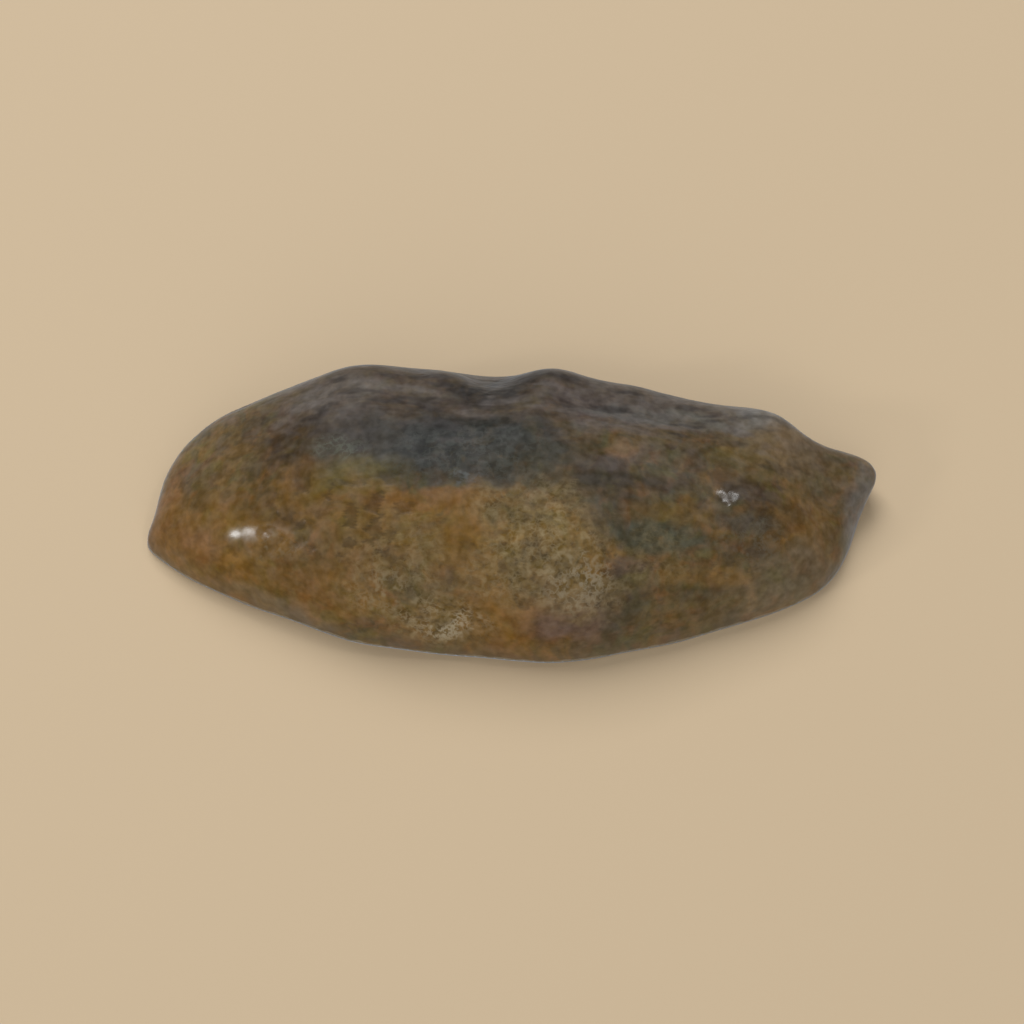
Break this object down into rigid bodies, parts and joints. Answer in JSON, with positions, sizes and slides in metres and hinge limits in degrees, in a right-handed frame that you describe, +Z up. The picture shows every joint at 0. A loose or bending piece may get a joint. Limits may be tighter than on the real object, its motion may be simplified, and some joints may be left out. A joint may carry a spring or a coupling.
{
  "type": "agate end cut",
  "caption": "End slice of an agate nodule: a lumpy dome of weathered brown rind over one flat sawn face that it rests on.",
  "frame": {"origin": "middle of the footprint's box, on the sawn face that the stone rests on", "axes": "+X along the stone towards its blunt nose, +Y across it away from the fuller flank, +Z up to the rind's crest"},
  "size_m": [0.086, 0.038, 0.0158],
  "materials": {
    "rind": "weathered and oily, dull gloss, mottled ochre, brown and slate grey"
  },
  "bodies": {
    "root": {"agate_end_cut": "rind"}
  },
  "joints": []
}
